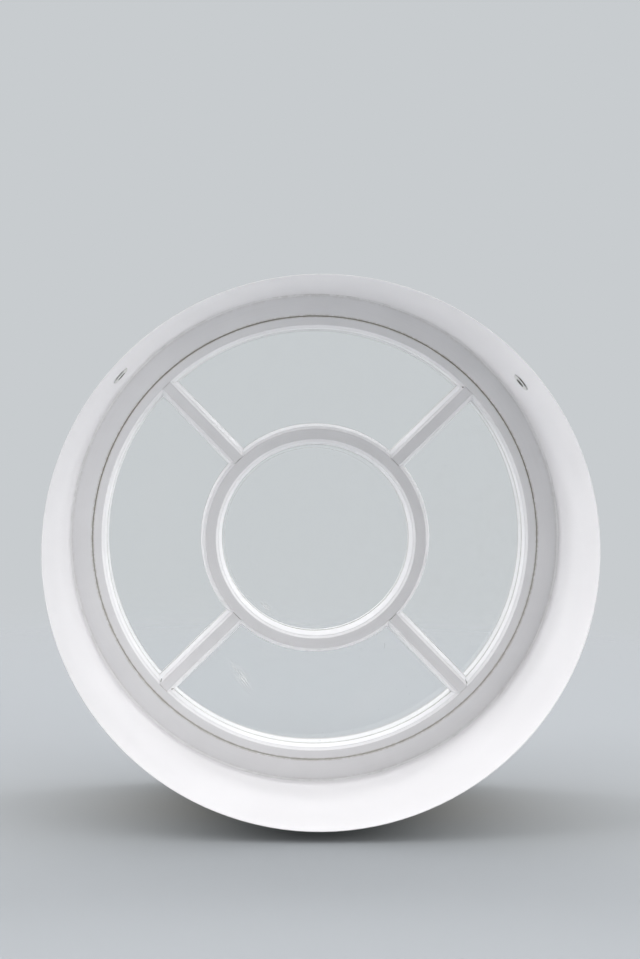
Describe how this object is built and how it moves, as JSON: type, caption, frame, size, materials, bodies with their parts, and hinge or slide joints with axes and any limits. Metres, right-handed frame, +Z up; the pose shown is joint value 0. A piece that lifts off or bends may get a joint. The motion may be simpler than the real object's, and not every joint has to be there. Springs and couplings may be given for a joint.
{
  "type": "round window",
  "caption": "Round fixed window with a centre ring, diagonal glazing bars, mitred beads and a deep round lining with small recessed lights.",
  "frame": {"origin": "centre of the outer frame's rim, on the window's axis at half the frame's depth", "axes": "+Y along the window's axis towards the outside, +Z up, +X to the right as seen from the room"},
  "size_m": [0.94, 0.402, 0.94],
  "materials": {
    "joinery_paint": "softwood under a satin white paint",
    "lining_paint": "bent board under a matt white paint",
    "glass": "clear float glass with a little dust",
    "white_tape": "white foam glazing tape",
    "caulk": "matt white acrylic caulk",
    "dark_seal": "dark grey-brown rubber",
    "packer_plastic": "moulded packers and setting blocks",
    "screw_steel": "zinc plated",
    "spot_paint": "white powder coat",
    "spot_lens": "smoked unlit lens",
    "spot_alloy": "cast, plain",
    "spring_steel": "plain spring steel"
  },
  "bodies": {
    "root": {"lining": "lining_paint", "outer_frame": "joinery_paint", "sash_ring": "joinery_paint", "centre_ring": "joinery_paint", "bar_upper_right": "joinery_paint", "bar_upper_left": "joinery_paint", "bar_lower_left": "joinery_paint", "bar_lower_right": "joinery_paint", "bead_centre": "joinery_paint", "bead_top_outer": "joinery_paint", "bead_top_inner": "joinery_paint", "bead_top_first": "joinery_paint", "bead_top_second": "joinery_paint", "bead_left_outer": "joinery_paint", "bead_left_inner": "joinery_paint", "bead_left_first": "joinery_paint", "bead_left_second": "joinery_paint", "bead_bottom_outer": "joinery_paint", "bead_bottom_inner": "joinery_paint", "bead_bottom_first": "joinery_paint", "bead_bottom_second": "joinery_paint", "bead_right_outer": "joinery_paint", "bead_right_inner": "joinery_paint", "bead_right_first": "joinery_paint", "bead_right_second": "joinery_paint", "pane_centre": "glass", "pane_top": "glass", "pane_left": "glass", "pane_bottom": "glass", "pane_right": "glass", "tape_centre": "white_tape", "tape_top": "white_tape", "tape_left": "white_tape", "tape_bottom": "white_tape", "tape_right": "white_tape", "corner_caulk": "caulk", "gap_seal": "dark_seal", "rear_gasket": "dark_seal", "setting_blocks": "packer_plastic", "sash_packers": "packer_plastic", "sash_screws": "screw_steel", "spot_rim_right": "spot_paint", "spot_lens_right": "spot_lens", "spot_module_right": "spot_alloy", "spot_clips_right": "spring_steel", "spot_rim_left": "spot_paint", "spot_lens_left": "spot_lens", "spot_module_left": "spot_alloy", "spot_clips_left": "spring_steel"}
  },
  "joints": []
}
